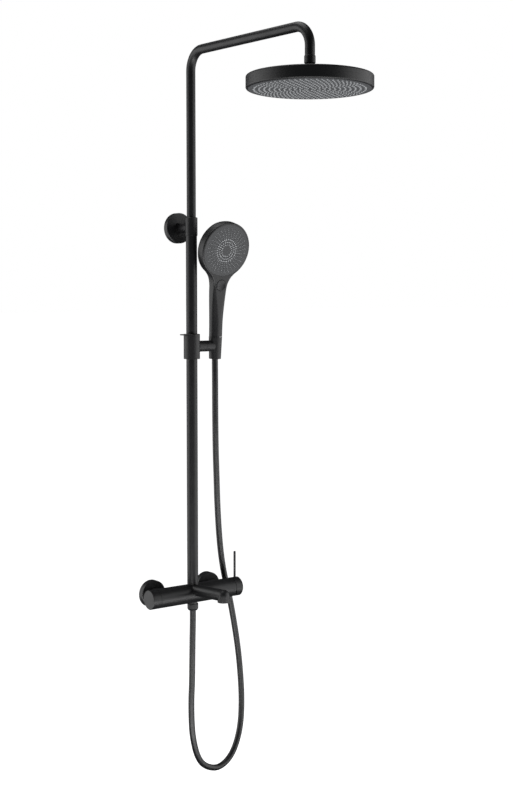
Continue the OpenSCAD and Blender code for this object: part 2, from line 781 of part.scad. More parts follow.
// Cross-section as [x, y] points: a squarish round back and a flat front with rounded corners
function hand_section(z) =
    let (w = max(0.6, half_width(z)), f = front_y(z) + 0.9 * edge_drop(z, front_round),
        b = back_y(z) - 0.9 * edge_drop(z, 9), c = (f + b) / 2, d = (b - f) / 2,
        r = corner_r(z, w, d), q = 1 - 0.42 * blend_step(neck_z - 10, face_z - 20, z))
    concat(
        [for (k = [0:half_steps]) let (t = 180 * k / half_steps)
            [w * sign(cos(t)) * pow(abs(cos(t)), q), c + d * pow(sin(t), q)]],
        [for (k = [0:corner_steps]) let (t = 90 * k / corner_steps)
            [r - w - r * cos(t), f + r - r * sin(t)]],
        [for (k = [-1:1]) [k * (w - r) / 2, f]],
        [for (k = [0:corner_steps]) let (t = 90 * k / corner_steps)
            [w - r + r * sin(t), f + r - r * cos(t)]]
    );
function hand_ring(z) =
    let (rise = tan(face_tilt) * turned(z))
    [for (p = hand_section(z)) [p[0], p[1], z + (p[1] - front_y(z)) * rise]];
function hand_height(i) =
    let (t = i / (hand_rings - 1), e = 1 - (1 - t) * (1 - t) * 0.55 - (1 - t) * 0.45)
    handle_z0 + (hand_z1 - 0.4 - handle_z0) * e;

module handset_shell() {
    color(matt_black) in_holder() difference() {
        loft([for (i = [0:hand_rings - 1]) hand_ring(hand_height(i))]);
        on_face() translate([0, 0, -face_t]) cylinder(r = face_d / 2 + 0.1, h = 20);
        on_face() translate([0, 0, -face_t - 9]) cylinder(r = face_d / 2 - 6, h = 20);
        translate([0, 1, handle_z0 - 1]) cylinder(r = bore_r, h = neck_z - handle_z0);
        translate([0, 1, neck_z - 6]) rotate([face_tilt, 0, 0]) cylinder(r = neck_bore_r, h = 44);
        at_button() translate([0, 0, -button_h - button_travel])
            cylinder(r = button_d / 2 + free_gap, h = 30);
        translate([0, 0, handle_z0 - 1]) cylinder(r = thread_half - 2, h = 9);
    }
}

// The button's seat on the neck, Z outward
module at_button() { translate([0, front_y(button_z), button_z]) rotate([90 + 3, 0, 0]) children(); }

module handset_face() {
    color(dark_grey) in_holder() on_face() translate([0, 0, -face_t])
        cylinder(r = face_d / 2, h = face_t, $fn = 96);
}

module handset_nozzle_mat() {
    color(silicone_grey) in_holder() on_face() translate([0, 0, -face_t - 2.5])
        cylinder(r = face_d / 2 - 6.5, h = 2.5, $fn = 96);
}

// Threaded tail of the handle that the cone nut screws onto
module handset_nipple() {
    color(brass) in_holder() difference() {
        union() {
            translate([0, 0, cone_z1 - 9]) cylinder(r = thread_half - 0.9, h = handle_z0 - cone_z1 + 9);
            translate([0, 0, handle_z0 - eps]) cylinder(r = thread_half - 2.1, h = 7);
        }
        translate([0, 0, 0]) cylinder(r = bore_r, h = 60);
    }
}

module hose_cone_nut() {
    color(matt_black) in_holder() difference() {
        translate([0, 0, cone_z0])
            cylinder(r1 = cone_bottom_r, r2 = cone_top_r, h = cone_z1 - cone_z0);
        translate([0, 0, cone_z1 - 9]) cylinder(r = thread_half - 0.8, h = 12);
        translate([0, 0, cone_z0 - 1]) cylinder(r = 5, h = socket_h);
        translate([0, 0, cone_z0 - 1]) cylinder(r = hose_d / 2 + 0.6, h = 3);
    }
}

module spray_button() {
    color(matt_black) in_holder() at_button() difference() {
        translate([0, 0, -button_h]) rotate_extrude() polygon([
            [0, 0], [button_d / 2, 0], [button_d / 2, button_h + button_proud - 0.8],
            [button_d / 2 - 0.8, button_h + button_proud], [0, button_h + button_proud]
        ]);
        translate([0, 0, button_proud + 30.2]) sphere(r = 32);
    }
}

// Lever and diverter -----------------------------------------------------

module cartridge_carrier() {
    color(steel) at_riser() difference() {
        along_x(body_right - 5.6, body_right - 2, 10 - free_gap);
        along_x(body_right - 7, body_right, 6.2);
    }
}

module cartridge_stem() {
    color(steel) at_riser() along_x(body_right - 4.5, cap_x + 11, 3.6);
}

// Cap that turns for temperature and tilts for flow; its lower rim is relieved
module lever_cap() {
    r = mixer_r;
    color(matt_black) at_riser() difference() {
        translate([cap_x, 0, 0]) rotate([0, 90, 0]) rotate_extrude() polygon([
            [0, 0], [r, 0], [r, cap_l - 1.5], [r - 1.5, cap_l], [0, cap_l]
        ]);
        along_x(cap_x - 1, cap_x + 11, r - 2.6);
        translate([cap_x, 0, 0]) rotate([0, -(tilt_deg + 1.5), 0])
            translate([-r, -r - 1, -2 * r]) cube([r, 2 * r + 2, 2 * r]);
        translate([pin_x, 0, r - 3]) cylinder(r = pin_d / 2, h = 5);
        translate([pin_x, 0, r - 3]) rotate([0, 90, 0]) cylinder(r = 1.3, h = cap_l);
    }
}

module lever_pin() {
    color(matt_black) at_riser() translate([pin_x, 0, mixer_r - 3]) union() {
        cylinder(r = pin_d / 2, h = pin_l + 2);
        translate([0, 0, pin_l + 2]) cylinder(r1 = pin_d / 2, r2 = pin_d / 2 - 0.8, h = 1);
    }
}

module lever_grub_screw() {
    color(steel) at_riser()
        translate([0, 0, mixer_r - 3]) along_x(pin_x + pin_d / 2, cap_end - 1.6, 1.2);
}

module diverter_stem() {
    color(steel) at_riser() along_x(-body_left - 12, -body_left + 3 - eps, 3.6);
}

module diverter_knob() {
    r = mixer_r;
    color(matt_black) at_riser() difference() {
        translate([knob_x, 0, 0]) rotate([0, -90, 0]) rotate_extrude() polygon([
            [0, 0], [r, 0], [r, knob_l - 1], [r - 1, knob_l], [0, knob_l]
        ]);
        along_x(knob_x - 8, knob_x + 1, r - 3);
        along_x(-body_left - 12, knob_x + 1, 3.6);
    }
}

lower_riser_tube();
riser_collar();
collar_seal();
collar_grub_screw();
riser_seals();
bracket_post();
bracket_disc();
bracket_wall_plate();
bracket_screws();
post_screw();
mixer_body();
spout();
aerator();
mixing_cartridge();
cartridge_nut();
diverter_cartridge();
diverter_nut();
inlet_unions();
inlet_nuts();
inlet_washers();
check_valves();
escutcheons();
outlet_nipple();
hose_nut();
hose_washer();
shower_hose();
telescope_bush();
upper_riser_arm();
arm_nut();
ball_stem();
ball_washer();
ball_cup();
cup_retainer();
head_shell();
head_face_plate();
head_nozzle_mat();
head_water_plate();
head_screws();
slider_bush();
slider_body();
holder_arm();
release_tab();
holder_socket();
holder_pivot();
handset_shell();
handset_face();
handset_nozzle_mat();
handset_nipple();
hose_cone_nut();
spray_button();
cartridge_carrier();
cartridge_stem();
lever_cap();
lever_pin();
lever_grub_screw();
diverter_stem();
diverter_knob();
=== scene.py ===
"""Rainfall shower column: bar mixer with spout, telescopic riser, rain head and hand shower."""

import math

import bmesh
import bpy
from mathutils import Matrix, Vector


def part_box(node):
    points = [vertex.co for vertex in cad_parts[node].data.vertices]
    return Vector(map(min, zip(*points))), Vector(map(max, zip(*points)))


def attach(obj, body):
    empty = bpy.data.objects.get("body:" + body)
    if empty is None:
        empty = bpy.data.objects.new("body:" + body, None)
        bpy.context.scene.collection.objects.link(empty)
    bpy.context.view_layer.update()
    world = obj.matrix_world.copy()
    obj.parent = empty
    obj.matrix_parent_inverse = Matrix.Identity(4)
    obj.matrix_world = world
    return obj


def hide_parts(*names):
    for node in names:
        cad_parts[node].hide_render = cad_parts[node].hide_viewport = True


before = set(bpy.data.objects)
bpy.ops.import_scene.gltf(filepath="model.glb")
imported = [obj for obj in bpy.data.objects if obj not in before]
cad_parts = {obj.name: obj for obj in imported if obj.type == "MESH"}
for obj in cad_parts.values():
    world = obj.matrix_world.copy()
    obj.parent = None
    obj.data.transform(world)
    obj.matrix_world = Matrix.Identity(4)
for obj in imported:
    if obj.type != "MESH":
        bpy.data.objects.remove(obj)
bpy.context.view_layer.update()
MM = 0.001


# Studio -----------------------------------------------------------------
# A pale painted floor under the column and a wide softbox on either side, as for a product
# shot: a black tube shows a soft band down each side, and a panel below lifts undersides.

CAMERA_PLACE = Vector((-1.741076, -2.574632, 0.689515))
CAMERA_AIM = Vector((0.604572, 0.792180, -0.083330))
LENS = 62.354
FLOOR_Z = -0.78
FLOOR_HALF = 60.0
BACKGROUND = "#ffffff"
FLOOR_TONE = "#fdfdfd"
FLOOR_PAINT = "#d8d8d8"
ROOM_TONE = "#c9ccd0"
ROOM_STRENGTH = 0.10


def linear(tone):
    """An sRGB hex tone as a linear colour."""
    parts = [int(tone[i:i + 2], 16) / 255 for i in (1, 3, 5)]
    return tuple(c / 12.92 if c <= 0.04045 else ((c + 0.055) / 1.055) ** 2.4 for c in parts) + (1.0,)


def add(tree, kind, inputs=None, **settings):
    """A node with its settings, and its inputs set or linked."""
    node = tree.nodes.new(kind)
    for name, value in settings.items():
        setattr(node, name, value)
    for name, value in (inputs or {}).items():
        if isinstance(value, bpy.types.NodeSocket):
            tree.links.new(value, node.inputs[name])
        else:
            node.inputs[name].default_value = value
    return node


def blank_material(name):
    """A new material with an empty node tree."""
    material = bpy.data.materials.new(name)
    material.use_nodes = True
    material.node_tree.nodes.clear()
    return material, material.node_tree


def put_up_camera():
    data = bpy.data.cameras.new("camera")
    data.lens = LENS
    data.sensor_width = 36.0
    data.clip_start = 0.05
    data.clip_end = 200.0
    camera = bpy.data.objects.new("camera", data)
    camera.location = CAMERA_PLACE
    camera.rotation_mode = "QUATERNION"
    camera.rotation_quaternion = CAMERA_AIM.to_track_quat("-Z", "Y")
    bpy.context.scene.collection.objects.link(camera)
    bpy.context.scene.camera = camera


def softbox(name, place, aim, width, height, power):
    """A rectangular lamp at place that faces aim and stays out of the camera's sight."""
    data = bpy.data.lights.new(name, "AREA")
    data.shape = "RECTANGLE"
    data.size = width
    data.size_y = height
    data.energy = power
    lamp = bpy.data.objects.new(name, data)
    lamp.location = place
    lamp.rotation_mode = "QUATERNION"
    lamp.rotation_quaternion = (Vector(aim) - Vector(place)).to_track_quat("-Z", "Y")
    lamp.visible_camera = False
    bpy.context.scene.collection.objects.link(lamp)


def light_surroundings():
    """White behind the column, and a dim grey room in its reflections."""
    world = bpy.data.worlds.new("studio")
    bpy.context.scene.world = world
    world.use_nodes = True
    tree = world.node_tree
    tree.nodes.clear()
    rays = add(tree, "ShaderNodeLightPath")
    seen = add(tree, "ShaderNodeBackground", {"Color": linear(BACKGROUND), "Strength": 1.0})
    room = add(tree, "ShaderNodeBackground", {"Color": linear(ROOM_TONE), "Strength": ROOM_STRENGTH})
    mix = add(tree, "ShaderNodeMixShader", {0: rays.outputs["Is Camera Ray"],
                                            1: room.outputs[0], 2: seen.outputs[0]})
    add(tree, "ShaderNodeOutputWorld", {"Surface": mix.outputs[0]})


def lay_floor():
    """Painted floor, evenly lit. It stays out of the reflections, so black pieces stay black."""
    material, tree = blank_material("pale_floor_paint")
    place = add(tree, "ShaderNodeTexCoord")
    grain = add(tree, "ShaderNodeTexNoise", {"Vector": place.outputs["Object"], "Scale": 40.0})
    rough = add(tree, "ShaderNodeMapRange", {"Value": grain.outputs[0], "To Min": 0.75, "To Max": 0.9})
    paint = add(tree, "ShaderNodeBsdfPrincipled", {
        "Base Color": linear(FLOOR_PAINT), "Roughness": rough.outputs[0],
        "Emission Color": linear(FLOOR_TONE), "Emission Strength": 1.0})
    add(tree, "ShaderNodeOutputMaterial", {"Surface": paint.outputs[0]})
    mesh = bpy.data.meshes.new("floor")
    h = FLOOR_HALF
    mesh.from_pydata([(-h, -h, FLOOR_Z), (h, -h, FLOOR_Z), (h, h, FLOOR_Z), (-h, h, FLOOR_Z)],
                     [], [(0, 1, 2, 3)])
    mesh.materials.append(material)
    floor = bpy.data.objects.new("floor", mesh)
    floor.visible_glossy = False
    floor.visible_diffuse = False
    bpy.context.scene.collection.objects.link(floor)


put_up_camera()
light_surroundings()
lay_floor()
middle = (0.0, -0.2, 0.4)
softbox("left_wall_of_light", (-2.06, 1.70, 0.4), middle, 3.7, 3.2, 60)
softbox("right_wall_of_light", (2.20, -1.58, 0.4), middle, 3.7, 3.2, 58)
softbox("top_panel", (-0.2, 0.4, 2.9), middle, 2.0, 1.6, 20)
softbox("floor_panel", (-0.4, -1.05, -0.74), (-0.3, -0.8, 1.2), 3.0, 0.9, 48)
bpy.context.scene.view_settings.view_transform = "Standard"


# Hose -------------------------------------------------------------------
# PVC hose, 14 mm outside, with a fine wound reinforcement under its smooth black skin.
# It runs from the hand shower's cone nut, behind the mixer, to the nut under the body.

HOSE_D = 0.014
HOSE_PITCH = 4.0 * MM
HOSE_RELIEF = 0.12 * MM
HOSE_SIDES = 20
HOSE_DARK = "#0d0d0f"
HOSE_LIGHT = "#151517"
POINTS_PER_LEG = 8      # of the smooth line, between two points of the route
STEPS_PER_TURN = 5      # of the winding
HOSE_ROUTE = [
    (63.5, -56.8, 527), (64, -56, 512), (65, -55, 480), (68, -51, 430), (72, -46, 370),
    (78, -39, 310), (85, -32, 250), (91, -26, 200), (98, -20, 150), (104, -16, 110),
    (110, -14, 70), (117, -14, 30), (125, -15, -5), (133, -17, -40), (142, -21, -95),
    (149, -26, -155), (152, -31, -210), (152, -36, -265), (147, -41, -315),
    (137, -45, -353), (120, -49, -386), (98, -52, -407), (72, -54, -416),
    (47, -55, -411), (25, -56, -396), (10, -57, -371), (0, -58, -335),
    (-4, -58, -300), (-5, -58, -250), (-3, -58, -200), (-2, -58, -150),
    (-1, -58, -100), (0, -58, -60), (0, -58, -36.4),
]


def smooth_line(points, steps):
    """Points of a smooth curve through the given ones."""
    def at(i):
        return points[max(0, min(len(points) - 1, i))]
    line = []
    for i in range(len(points) - 1):
        a, b, c, d = at(i - 1), at(i), at(i + 1), at(i + 2)
        for k in range(steps):
            t = k / steps
            line.append(0.5 * (2 * b + (c - a) * t + (2 * a - 5 * b + 4 * c - d) * t ** 2
                               + (3 * b - a - 3 * c + d) * t ** 3))
    line.append(points[-1])
    return line


def named_inputs(tree, sizes):
    """Gives a Geometry Nodes tree its sockets: geometry in and out, and one for each size."""
    tree.interface.new_socket("Geometry", in_out="INPUT", socket_type="NodeSocketGeometry")
    for name, size in sizes.items():
        kind = "NodeSocketInt" if isinstance(size, int) else "NodeSocketFloat"
        tree.interface.new_socket(name, in_out="INPUT", socket_type=kind)
    tree.interface.new_socket("Geometry", in_out="OUTPUT", socket_type="NodeSocketGeometry")
    return add(tree, "NodeGroupInput").outputs


def grow(name, base, tree, sizes):
    """Runs a Geometry Nodes tree on a base mesh and keeps the result as a plain mesh object."""
    seed = bpy.data.objects.new(name + "_base", base)
    bpy.context.scene.collection.objects.link(seed)
    modifier = seed.modifiers.new(name, "NODES")
    modifier.node_group = tree
    for item in tree.interface.items_tree:
        if item.in_out == "INPUT" and item.name in sizes:
            modifier[item.identifier] = sizes[item.name]
    ready = seed.evaluated_get(bpy.context.evaluated_depsgraph_get())
    mesh = bpy.data.meshes.new_from_object(ready)
    mesh.name = name
    bpy.data.objects.remove(seed)
    piece = bpy.data.objects.new(name, mesh)
    bpy.context.scene.collection.objects.link(piece)
    return piece


def hose_skin():
    """Black plasticised PVC, extruded: a soft gloss, with the winding faint under the skin."""
    material, tree = blank_material("extruded_pvc_hose")
    place = add(tree, "ShaderNodeTexCoord")
    wound = add(tree, "ShaderNodeAttribute", attribute_name="winding")
    smear = add(tree, "ShaderNodeTexNoise", {"Vector": place.outputs["Object"], "Scale": 55.0,
                                             "Detail": 4.0})
    shade = add(tree, "ShaderNodeMix", {"Factor": wound.outputs["Fac"], "A": linear(HOSE_DARK),
                                        "B": linear(HOSE_LIGHT)}, data_type="RGBA")
    rough = add(tree, "ShaderNodeMapRange", {"Value": smear.outputs[0], "To Min": 0.32, "To Max": 0.46})
    skin = add(tree, "ShaderNodeBsdfPrincipled", {
        "Base Color": shade.outputs["Result"], "Roughness": rough.outputs[0], "IOR": 1.53})
    add(tree, "ShaderNodeOutputMaterial", {"Surface": skin.outputs[0]})
    return material


def winding_tree(sizes, material):
    """Sweeps a round skin along a line and lifts a fine helical winding on it."""
    tree = bpy.data.node_groups.new("hose_winding", "GeometryNodeTree")
    given = named_inputs(tree, sizes)
    path = add(tree, "GeometryNodeMeshToCurve", {"Mesh": given["Geometry"]})
    even = add(tree, "GeometryNodeResampleCurve", {"Curve": path.outputs[0], "Length": given["Step"]},
               mode="LENGTH")
    run = add(tree, "GeometryNodeSplineParameter")
    marked = add(tree, "GeometryNodeStoreNamedAttribute", {
        "Geometry": even.outputs[0], "Name": "along", "Value": run.outputs["Length"]})
    radius = add(tree, "ShaderNodeMath", {0: given["Diameter"], 1: 2.0}, operation="DIVIDE")
    profile = add(tree, "GeometryNodeCurvePrimitiveCircle", {
        "Resolution": given["Sides"], "Radius": radius.outputs[0]})
    turn = add(tree, "GeometryNodeSplineParameter")
    around = add(tree, "GeometryNodeStoreNamedAttribute", {
        "Geometry": profile.outputs[0], "Name": "around", "Value": turn.outputs["Factor"]})
    skin = add(tree, "GeometryNodeCurveToMesh", {
        "Curve": marked.outputs[0], "Profile Curve": around.outputs[0], "Fill Caps": True})
    length = add(tree, "GeometryNodeInputNamedAttribute", {"Name": "along"})
    angle = add(tree, "GeometryNodeInputNamedAttribute", {"Name": "around"})
    turns = add(tree, "ShaderNodeMath", {0: length.outputs[0], 1: given["Pitch"]}, operation="DIVIDE")
    phase = add(tree, "ShaderNodeMath", {0: turns.outputs[0], 1: angle.outputs[0]}, operation="ADD")
    radians = add(tree, "ShaderNodeMath", {0: phase.outputs[0], 1: 2 * math.pi}, operation="MULTIPLY")
    wave = add(tree, "ShaderNodeMath", {0: radians.outputs[0]}, operation="SINE")
    share = add(tree, "ShaderNodeMapRange", {"Value": wave.outputs[0], "From Min": -1.0})
    kept = add(tree, "GeometryNodeStoreNamedAttribute", {
        "Geometry": skin.outputs[0], "Name": "winding", "Value": share.outputs[0]})
    lift = add(tree, "ShaderNodeMath", {0: share.outputs[0], 1: given["Relief"]}, operation="MULTIPLY")
    normal = add(tree, "GeometryNodeInputNormal")
    push = add(tree, "ShaderNodeVectorMath", {0: normal.outputs[0], "Scale": lift.outputs[0]},
               operation="SCALE")
    wound = add(tree, "GeometryNodeSetPosition", {"Geometry": kept.outputs[0], "Offset": push.outputs[0]})
    shaded = add(tree, "GeometryNodeSetShadeSmooth", {"Geometry": wound.outputs[0]})
    real = add(tree, "GeometryNodeRealizeInstances", {"Geometry": shaded.outputs[0]})
    painted = add(tree, "GeometryNodeSetMaterial", {"Geometry": real.outputs[0], "Material": material})
    add(tree, "NodeGroupOutput", {"Geometry": painted.outputs[0]})
    return tree


hose_pvc = hose_skin()
hose_line = smooth_line([Vector(p) * MM for p in HOSE_ROUTE], POINTS_PER_LEG)
hose_base = bpy.data.meshes.new("hose_line")
hose_base.from_pydata(hose_line, [(i, i + 1) for i in range(len(hose_line) - 1)], [])
hose_sizes = {"Diameter": HOSE_D - 2 * HOSE_RELIEF, "Pitch": HOSE_PITCH, "Relief": HOSE_RELIEF,
              "Step": HOSE_PITCH / STEPS_PER_TURN, "Sides": HOSE_SIDES}
hose = grow("hose", hose_base, winding_tree(hose_sizes, hose_pvc), hose_sizes)
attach(hose, "root")
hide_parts("shower_hose")


# Riser, arm and bracket -------------------------------------------------
# Drawn brass tube, bent cold, and a turned post with its wall disc. All wear a baked
# matt black powder coat: a fine orange peel and a slightly cloudy sheen.

PEEL = 2.2 * MM   # the real peel is about 0.5 mm, drawn coarser so that it shows


def powder_coat(name, dark, light, rough, relief_mm):
    """Baked powder: a dark film whose peel breaks up every highlight a little."""
    material, tree = blank_material(name)
    spot = add(tree, "ShaderNodeTexCoord").outputs["Object"]
    peel = add(tree, "ShaderNodeTexNoise", {"Vector": spot, "Scale": 1 / PEEL, "Detail": 2.0})
    grit = add(tree, "ShaderNodeTexVoronoi", {"Vector": spot, "Scale": 0.7 / PEEL})
    cloud = add(tree, "ShaderNodeTexNoise", {"Vector": spot, "Scale": 22.0, "Detail": 3.0})
    speckle = add(tree, "ShaderNodeMath", {0: grit.outputs["Distance"], 1: cloud.outputs[0]},
                  operation="MULTIPLY")
    shade = add(tree, "ShaderNodeMix", {"Factor": speckle.outputs[0], "A": linear(dark),
                                        "B": linear(light)}, data_type="RGBA")
    sheen = add(tree, "ShaderNodeMapRange", {"Value": cloud.outputs[0], "From Min": 0.3, "From Max": 0.7,
                                             "To Min": rough - 0.04, "To Max": rough + 0.04})
    relief = add(tree, "ShaderNodeBump", {"Strength": 0.3, "Distance": relief_mm * MM,
                                          "Height": peel.outputs[0]})
    coat = add(tree, "ShaderNodeBsdfPrincipled", {
        "Base Color": shade.outputs["Result"], "Roughness": sheen.outputs[0],
        "IOR": 1.5, "Normal": relief.outputs[0]})
    add(tree, "ShaderNodeOutputMaterial", {"Surface": coat.outputs[0]})
    return material


def finish_nodes(material, *names):
    """Gives CAD pieces their finish."""
    for name in names:
        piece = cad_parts[name]
        piece.data.materials.clear()
        piece.data.materials.append(material)


matt_black = powder_coat("matt_black_powder_coat", "#0d0d0f", "#18181a", 0.44, 0.05)
finish_nodes(matt_black, "lower_riser_tube", "riser_collar", "upper_riser_arm",
             "bracket_post", "bracket_disc")


# Rain head --------------------------------------------------------------
# A moulded ABS drum, painted satin black, with a dark grey face plate let into its mouth.
# Rings of soft silicone nozzles stand through the plate: rub them and the scale falls off.

PLATE_T = 3.0 * MM
RING_STEP = 9.9 * MM
RING_COUNT = 11
HEAD_TILT = math.radians(-1.4)
HEAD_LEAN = math.radians(1.1)
HEAD_NOZZLE = {"Base Radius": 1.9 * MM, "Tip Radius": 1.25 * MM, "Height": 1.6 * MM,
               "Hole Share": 0.5, "Hole Depth": 1.0 * MM, "Sides": 10}


def moulded_plastic(name, dark, light, rough, grain_mm):
    """Injection-moulded ABS with a spark-eroded grain: an even, slightly chalky satin."""
    material, tree = blank_material(name)
    spot = add(tree, "ShaderNodeTexCoord").outputs["Object"]
    grain = add(tree, "ShaderNodeTexNoise", {"Vector": spot, "Scale": 1 / (grain_mm * MM),
                                             "Detail": 3.0, "Roughness": 0.65})
    flow = add(tree, "ShaderNodeTexNoise", {"Vector": spot, "Scale": 14.0, "Detail": 1.0})
    shade = add(tree, "ShaderNodeMix", {"Factor": flow.outputs[0], "A": linear(dark),
                                        "B": linear(light)}, data_type="RGBA")
    sheen = add(tree, "ShaderNodeMapRange", {"Value": grain.outputs[0], "From Min": 0.3, "From Max": 0.7,
                                             "To Min": rough - 0.05, "To Max": rough + 0.05})
    relief = add(tree, "ShaderNodeBump", {"Strength": 0.25, "Distance": 0.04 * MM,
                                          "Height": grain.outputs[0]})
    plastic = add(tree, "ShaderNodeBsdfPrincipled", {
        "Base Color": shade.outputs["Result"], "Roughness": sheen.outputs[0],
        "IOR": 1.53, "Normal": relief.outputs[0]})
    add(tree, "ShaderNodeOutputMaterial", {"Surface": plastic.outputs[0]})
    return material


def silicone_rubber(name, tone, dusty):
    """Translucent grey LSR: matt, a little light inside, with a dusty bloom."""
    material, tree = blank_material(name)
    spot = add(tree, "ShaderNodeTexCoord").outputs["Object"]
    bloom = add(tree, "ShaderNodeTexNoise", {"Vector": spot, "Scale": 260.0, "Detail": 2.0})
    shade = add(tree, "ShaderNodeMix", {"Factor": bloom.outputs[0], "A": linear(tone),
                                        "B": linear(dusty)}, data_type="RGBA")
    rubber = add(tree, "ShaderNodeBsdfPrincipled", {
        "Base Color": shade.outputs["Result"], "Roughness": 0.62, "IOR": 1.41,
        "Subsurface Weight": 0.15, "Subsurface Radius": (MM, MM, MM)})
    add(tree, "ShaderNodeOutputMaterial", {"Surface": rubber.outputs[0]})
    return material


def nozzle_tree(name, sizes, material):
    """Stands one hollow tapered nozzle on each point of a field, pointing along Z."""
    tree = bpy.data.node_groups.new(name, "GeometryNodeTree")
    given = named_inputs(tree, sizes)
    cone = add(tree, "GeometryNodeMeshCone", {
        "Vertices": given["Sides"], "Radius Top": given["Tip Radius"],
        "Radius Bottom": given["Base Radius"], "Depth": given["Height"]})
    rim = add(tree, "GeometryNodeExtrudeMesh", {
        "Mesh": cone.outputs["Mesh"], "Selection": cone.outputs["Top"], "Offset Scale": 0.0})
    mouth = add(tree, "GeometryNodeScaleElements", {
        "Geometry": rim.outputs["Mesh"], "Selection": rim.outputs["Top"], "Scale": given["Hole Share"]})
    depth = add(tree, "ShaderNodeMath", {0: given["Hole Depth"], 1: -1.0}, operation="MULTIPLY")
    hole = add(tree, "GeometryNodeExtrudeMesh", {
        "Mesh": mouth.outputs[0], "Selection": rim.outputs["Top"], "Offset Scale": depth.outputs[0]})
    field = add(tree, "GeometryNodeInstanceOnPoints", {
        "Points": given["Geometry"], "Instance": hole.outputs["Mesh"]})
    real = add(tree, "GeometryNodeRealizeInstances", {"Geometry": field.outputs[0]})
    painted = add(tree, "GeometryNodeSetMaterial", {"Geometry": real.outputs[0], "Material": material})
    add(tree, "NodeGroupOutput", {"Geometry": painted.outputs[0]})
    return tree


def on_circle(radius, degrees):
    return Vector((radius * math.cos(math.radians(degrees)), radius * math.sin(math.radians(degrees)), 0))


def nozzle_field(name, points, sizes, material, place):
    """Grows nozzles at points on a face, then sets them where the face is."""
    base = bpy.data.meshes.new(name)
    base.from_pydata(points, [], [])
    field = grow(name, base, nozzle_tree(name, sizes, material), sizes)
    field.data.transform(place)
    return field


head_shell_paint = moulded_plastic("satin_black_moulded_abs", "#101012", "#161618", 0.46, 1.6)
head_plate_grey = moulded_plastic("dark_grey_moulded_abs", "#515254", "#5a5b5d", 0.50, 1.4)
nozzle_silicone = silicone_rubber("grey_silicone", "#a3a5a7", "#bdbfc1")
finish_nodes(head_shell_paint, "head_shell")
finish_nodes(head_plate_grey, "head_face_plate")
finish_nodes(nozzle_silicone, "head_nozzle_mat")

plate_low, plate_high = [Vector(c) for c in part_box("head_face_plate")]
plate_middle = (plate_low + plate_high) / 2
head_points = [on_circle(ring * RING_STEP, 360 * (k + 0.5 * (ring % 2)) / (6 * ring))
               for ring in range(1, RING_COUNT + 1) for k in range(6 * ring)]
facing_down = (Matrix.Translation(plate_middle) @ Matrix.Rotation(HEAD_LEAN, 4, "Y")
               @ Matrix.Rotation(math.pi + HEAD_TILT, 4, "X") @ Matrix.Translation((0, 0, PLATE_T / 2)))
head_nozzles = nozzle_field("head_nozzles", head_points, HEAD_NOZZLE, nozzle_silicone, facing_down)
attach(head_nozzles, "rain_head")


# Water way of the head --------------------------------------------------
# A swivel nut, a coated ball on its stem and a cup let the head tilt and turn. Inside the
# drum an acetal plate holds the nozzle mat down, on stainless screws.

def bare_metal(name, tone, dull, rough, grain):
    """Turned or stamped metal: fine tool lines that stretch the highlight."""
    material, tree = blank_material(name)
    spot = add(tree, "ShaderNodeTexCoord").outputs["Object"]
    squeezed = add(tree, "ShaderNodeMapping", {"Vector": spot, "Scale": grain})
    lines = add(tree, "ShaderNodeTexNoise", {"Vector": squeezed.outputs[0], "Scale": 1.0, "Detail": 3.0})
    shade = add(tree, "ShaderNodeMix", {"Factor": lines.outputs[0], "A": linear(tone),
                                        "B": linear(dull)}, data_type="RGBA")
    sheen = add(tree, "ShaderNodeMapRange", {"Value": lines.outputs[0],
                                             "To Min": rough - 0.08, "To Max": rough + 0.10})
    metal = add(tree, "ShaderNodeBsdfPrincipled", {
        "Base Color": shade.outputs["Result"], "Metallic": 1.0, "Roughness": sheen.outputs[0]})
    add(tree, "ShaderNodeOutputMaterial", {"Surface": metal.outputs[0]})
    return material


stainless = bare_metal("turned_stainless_steel", "#b4b5b7", "#8f9194", 0.30, (300, 300, 1800))
yellow_brass = bare_metal("turned_brass", "#c8a468", "#a98448", 0.32, (1800, 300, 300))
white_acetal = moulded_plastic("natural_acetal", "#d9d8d2", "#e6e5df", 0.42, 1.2)
finish_nodes(matt_black, "arm_nut", "ball_cup", "ball_stem")
finish_nodes(stainless, "head_screws")
finish_nodes(yellow_brass, "cup_retainer")
finish_nodes(white_acetal, "head_water_plate", "telescope_bush")


# Slider and holder ------------------------------------------------------
# A moulded clamp with a press tab grips the riser through an acetal bush. Its arm carries
# a split conical socket for the hand shower's cone nut.

clamp_black = moulded_plastic("matt_black_moulded_abs", "#0e0e10", "#161618", 0.47, 1.5)
finish_nodes(clamp_black, "slider_body", "holder_arm", "release_tab", "holder_socket")
finish_nodes(white_acetal, "slider_bush")
finish_nodes(stainless, "holder_pivot")


# Hand shower ------------------------------------------------------------
# One moulded shell from the round handle to the flat head: the face plane runs down into
# the handle's front. The face plate and the spray button are let into it.

HANDLE_R = 14.3
HEAD_R = 62.5
FACE_Z = 212.0
FACE_Y = -34.3
FACE_TILT = math.radians(14)
RIM_T = 22.0
FOOT_Z = 20.8
HOLDER_LEAN = math.radians(2.5)
HOLDER_PLACE = (0.0635, -0.058, 0.5525)
FACE_RECESS_R = 58.1
FACE_RECESS_T = 3.0
CUTTER_TOP = 20.0
BUTTON_Z = 135.0
BUTTON_TILT = math.radians(93)
BUTTON_HOLE_R = 12.9
BUTTON_HOLE_T = 8.0
BUTTON_SIDES = 96
FRONT_ROUND = 3.5
BACK_ROUND = 9.0
NECK_BELOW_HEAD = 18
NECK_Z = FACE_Z - HEAD_R - NECK_BELOW_HEAD
SIDE_BLEND = (FOOT_Z, NECK_Z + 16)                  # heights between which the handle widens,
BACK_BLEND = (NECK_Z - 20, FACE_Z - 10)             # its back becomes the head's,
CORNER_BLEND = (NECK_Z - 80, NECK_Z + 20)           # its front corners sharpen,
